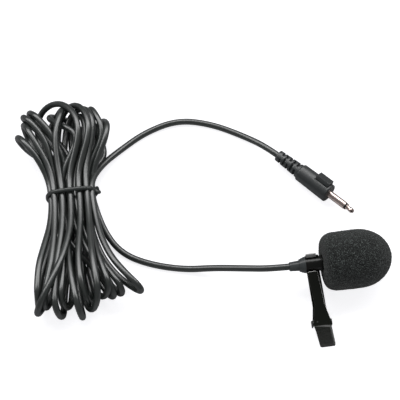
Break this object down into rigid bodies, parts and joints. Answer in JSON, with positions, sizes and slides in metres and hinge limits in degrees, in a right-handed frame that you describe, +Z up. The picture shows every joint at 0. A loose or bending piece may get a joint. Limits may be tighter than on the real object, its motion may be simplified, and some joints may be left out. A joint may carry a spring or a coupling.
{
  "type": "lavalier microphone",
  "caption": "Clip-on lavalier microphone with a foam windscreen, a sprung tie clip and a tied hank of cord ending in a moulded mono jack plug.",
  "frame": {"origin": "on the surface it lies on, under the middle of the microphone and its clip, from strain relief to foam and from foam to clip lever", "axes": "+X along the microphone's axis, from the tail to the foam's dome; -Y towards the clip's levers; +Z up"},
  "size_m": [0.1638, 0.1445, 0.0266],
  "materials": {
    "foam_open_cell": "matte",
    "steel_black_satin": "satin",
    "grille_black": "matte",
    "mesh_steel": "satin",
    "felt_grey": "matte",
    "can_aluminium": "satin",
    "ring_brass": "satin",
    "film_metallised": "gloss",
    "spacer_film": "gloss",
    "backplate_steel": "satin",
    "holder_white": "satin",
    "board_green": "satin",
    "chip_black": "matte",
    "solder_tin": "satin",
    "boot_rubber": "matte",
    "lead_insulation": "satin",
    "ferrule_brass": "satin",
    "tail_rubber": "satin",
    "clip_steel_black": "satin",
    "pin_steel": "satin",
    "spring_steel": "satin",
    "cord_pvc": "satin",
    "tie_pvc": "satin",
    "plug_pvc": "satin",
    "premould_black": "matte",
    "contact_nickel": "polished",
    "insulator_black": "satin"
  },
  "bodies": {
    "microphone": {"head_shell": "steel_black_satin", "front_grille": "grille_black", "acoustic_mesh": "mesh_steel", "dust_felt": "felt_grey", "capsule_can": "can_aluminium", "diaphragm_ring": "ring_brass", "diaphragm": "film_metallised", "spacer_ring": "spacer_film", "backplate": "backplate_steel", "backplate_holder": "holder_white", "gate_ring": "ring_brass", "capsule_board": "board_green", "fet": "chip_black", "solder_joints": "solder_tin", "capsule_boot": "boot_rubber", "inner_leads": "lead_insulation", "crimp_ferrule": "ferrule_brass", "tail_cone": "tail_rubber", "strain_relief": "tail_rubber", "cable_mic_side": "cord_pvc", "cable_hank": "cord_pvc", "cable_plug_side": "cord_pvc", "cable_tie": "tie_pvc", "plug_overmould": "plug_pvc", "plug_premould": "premould_black", "plug_sleeve": "contact_nickel", "plug_insulator": "insulator_black", "plug_tip": "contact_nickel", "plug_leads": "lead_insulation"},
    "windscreen": {"foam_windscreen": "foam_open_cell"},
    "clip": {"clip_back_arm": "clip_steel_black", "clip_pivot_pin": "pin_steel", "clip_spring": "spring_steel"},
    "jaw": {"clip_front_jaw": "clip_steel_black"}
  },
  "joints": [
    {"name": "windscreen_slide", "type": "slide", "parent": "microphone", "child": "windscreen", "axis": [1, 0, 0], "range_m": [0, 0.024]},
    {"name": "clip_turn", "type": "hinge", "parent": "microphone", "child": "clip", "pos_m": [-0.01275, 0.01318, 0.0133], "axis": [1, 0, 0], "continuous": true},
    {"name": "jaw_hinge", "type": "hinge", "parent": "clip", "child": "jaw", "pos_m": [-0.01275, -0.01311, 0.00713], "axis": [1, 0, 0], "range_deg": [0, 30], "stiffness_Nm_per_rad": 0.02, "springref_deg": -11.46, "deforming": ["clip_spring"]}
  ]
}
